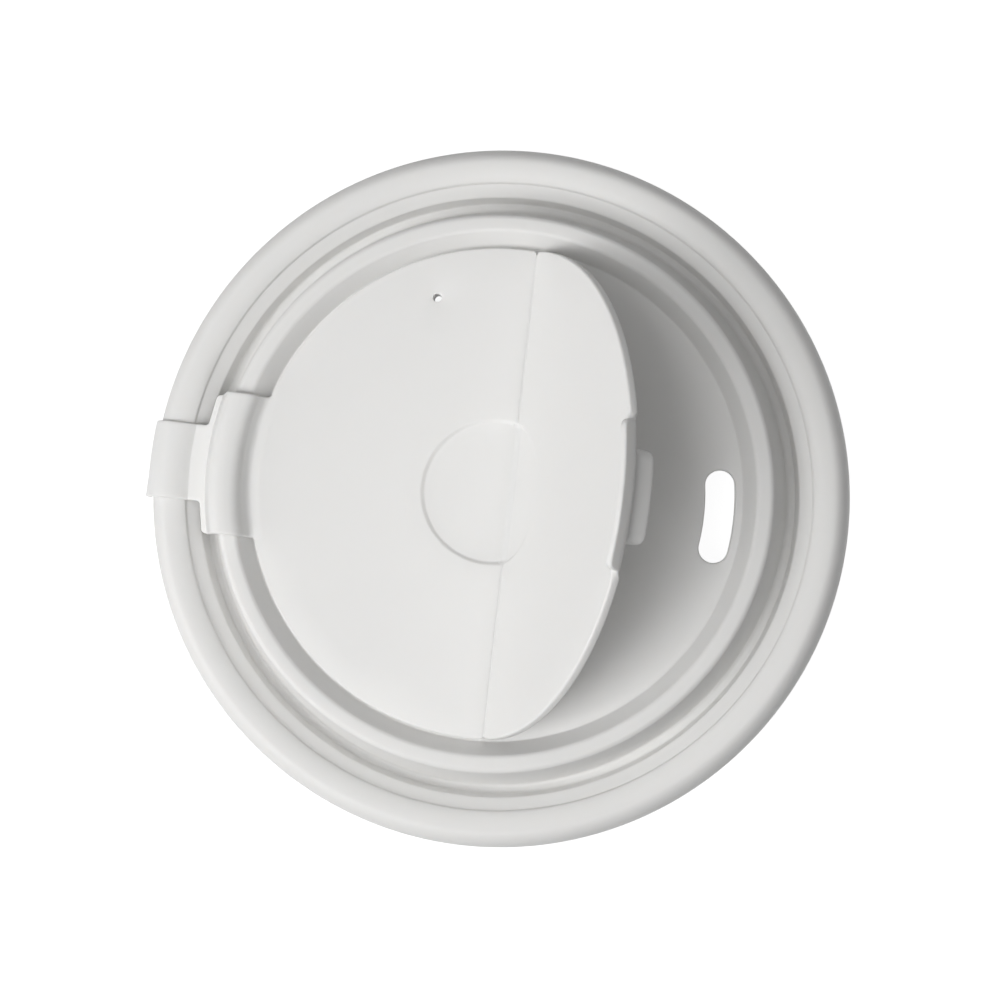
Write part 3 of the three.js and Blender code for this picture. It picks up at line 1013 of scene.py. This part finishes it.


# Painted shade: the whole lid body is tinted a little darker than the closure, for the shade on
# its bead.
lid_plastic_painted_shade = white_plastic(
    "lid_polypropylene_painted_shade", (0.82, 0.815, 0.80), (0.80, 0.795, 0.785), 0.42, 1.0
)
closure_plastic = white_plastic(
    "closure_polypropylene", (0.84, 0.835, 0.82), (0.82, 0.815, 0.805), 0.38, 0.8
)
body_piece.data.materials.append(lid_plastic_painted_shade)
for piece in (strap_piece, flap_piece, film_piece):
    piece.data.materials.append(closure_plastic)

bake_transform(film_piece)

# %% [markdown]
# ## Floor
# The lid stands on a plain white floor, as a cut-out product picture shows it. The floor glows
# for the camera and for reflections only, so it looks white without lighting the lid from
# below, and it still takes the lid's shadow.

# %% Floor
FLOOR_SIZE = 3.0
FLOOR_DROP = 0.0001

floor_mesh = bpy.data.meshes.new("floor")
h = FLOOR_SIZE / 2
floor_mesh.from_pydata([(-h, -h, 0), (h, -h, 0), (h, h, 0), (-h, h, 0)], [], [(0, 1, 2, 3)])
floor = bpy.data.objects.new("floor", floor_mesh)
floor.location.z = -FLOOR_DROP
bpy.context.scene.collection.objects.link(floor)
floor_material = bpy.data.materials.new("floor_white")
floor_material.use_nodes = True
nodes, links = floor_material.node_tree.nodes, floor_material.node_tree.links
shader = nodes["Principled BSDF"]
shader.inputs["Base Color"].default_value = (0.25, 0.25, 0.25, 1.0)
shader.inputs["Roughness"].default_value = 0.9
rays = nodes.new("ShaderNodeLightPath")
glow = nodes.new("ShaderNodeEmission")
glow.inputs["Color"].default_value = (1.0, 1.0, 1.0, 1.0)
glow.inputs["Strength"].default_value = 0.95
add = nodes.new("ShaderNodeAddShader")
seen = nodes.new("ShaderNodeMath")
seen.operation = "MAXIMUM"
mix = nodes.new("ShaderNodeMixShader")
output = nodes["Material Output"]
links.new(rays.outputs["Is Camera Ray"], seen.inputs[0])
links.new(rays.outputs["Is Glossy Ray"], seen.inputs[1])
links.new(shader.outputs["BSDF"], add.inputs[0])
links.new(glow.outputs["Emission"], add.inputs[1])
links.new(seen.outputs["Value"], mix.inputs["Fac"])
links.new(shader.outputs["BSDF"], mix.inputs[1])
links.new(add.outputs["Shader"], mix.inputs[2])
links.new(mix.outputs["Shader"], output.inputs["Surface"])
floor.data.materials.append(floor_material)
print("floor, m:", FLOOR_SIZE)

# %% [markdown]
# ## Light
# In the photograph the light comes mostly from the lower left, at about half height, so the
# walls that face right fall into a soft grey and the open flap throws a broad shadow. Three
# panels share that side, a wide one hangs overhead, and a low one lights the left walls. Their
# powers were chosen so that the greys of the deck, the ridge and the bead match.

# %% Lamps and world
PANEL_DISTANCE = 1.2


def panel(name, azimuth, elevation, size, power):
    """A square area lamp aimed at the lid. Azimuth 0 is +X, 90 is +Y."""
    data = bpy.data.lights.new(name, "AREA")
    data.shape = "SQUARE"
    data.size = size
    data.energy = power
    lamp = bpy.data.objects.new(name, data)
    bpy.context.scene.collection.objects.link(lamp)
    a, e = math.radians(azimuth), math.radians(elevation)
    towards = Vector((math.cos(e) * math.cos(a), math.cos(e) * math.sin(a), math.sin(e)))
    lamp.location = towards * PANEL_DISTANCE
    lamp.rotation_euler = (-towards).to_track_quat("-Z", "Y").to_euler()
    print(name, "azimuth", azimuth, "elevation", elevation, "power", power)


panel("key_panel", 215, 48, 0.5, 3.7)
panel("high_key_panel", 215, 68, 0.5, 3.4)
panel("side_key_panel", 240, 50, 0.6, 1.7)
panel("overhead_panel", 0, 88, 2.8, 8.5)
panel("low_left_panel", 205, 20, 0.5, 2.6)

world = bpy.data.worlds.new("studio")
bpy.context.scene.world = world
world.use_nodes = True
backdrop = world.node_tree.nodes["Background"]
backdrop.inputs["Color"].default_value = (1.0, 1.0, 1.0, 1.0)
backdrop.inputs["Strength"].default_value = 0.1
bpy.context.scene.view_settings.view_transform = "Standard"
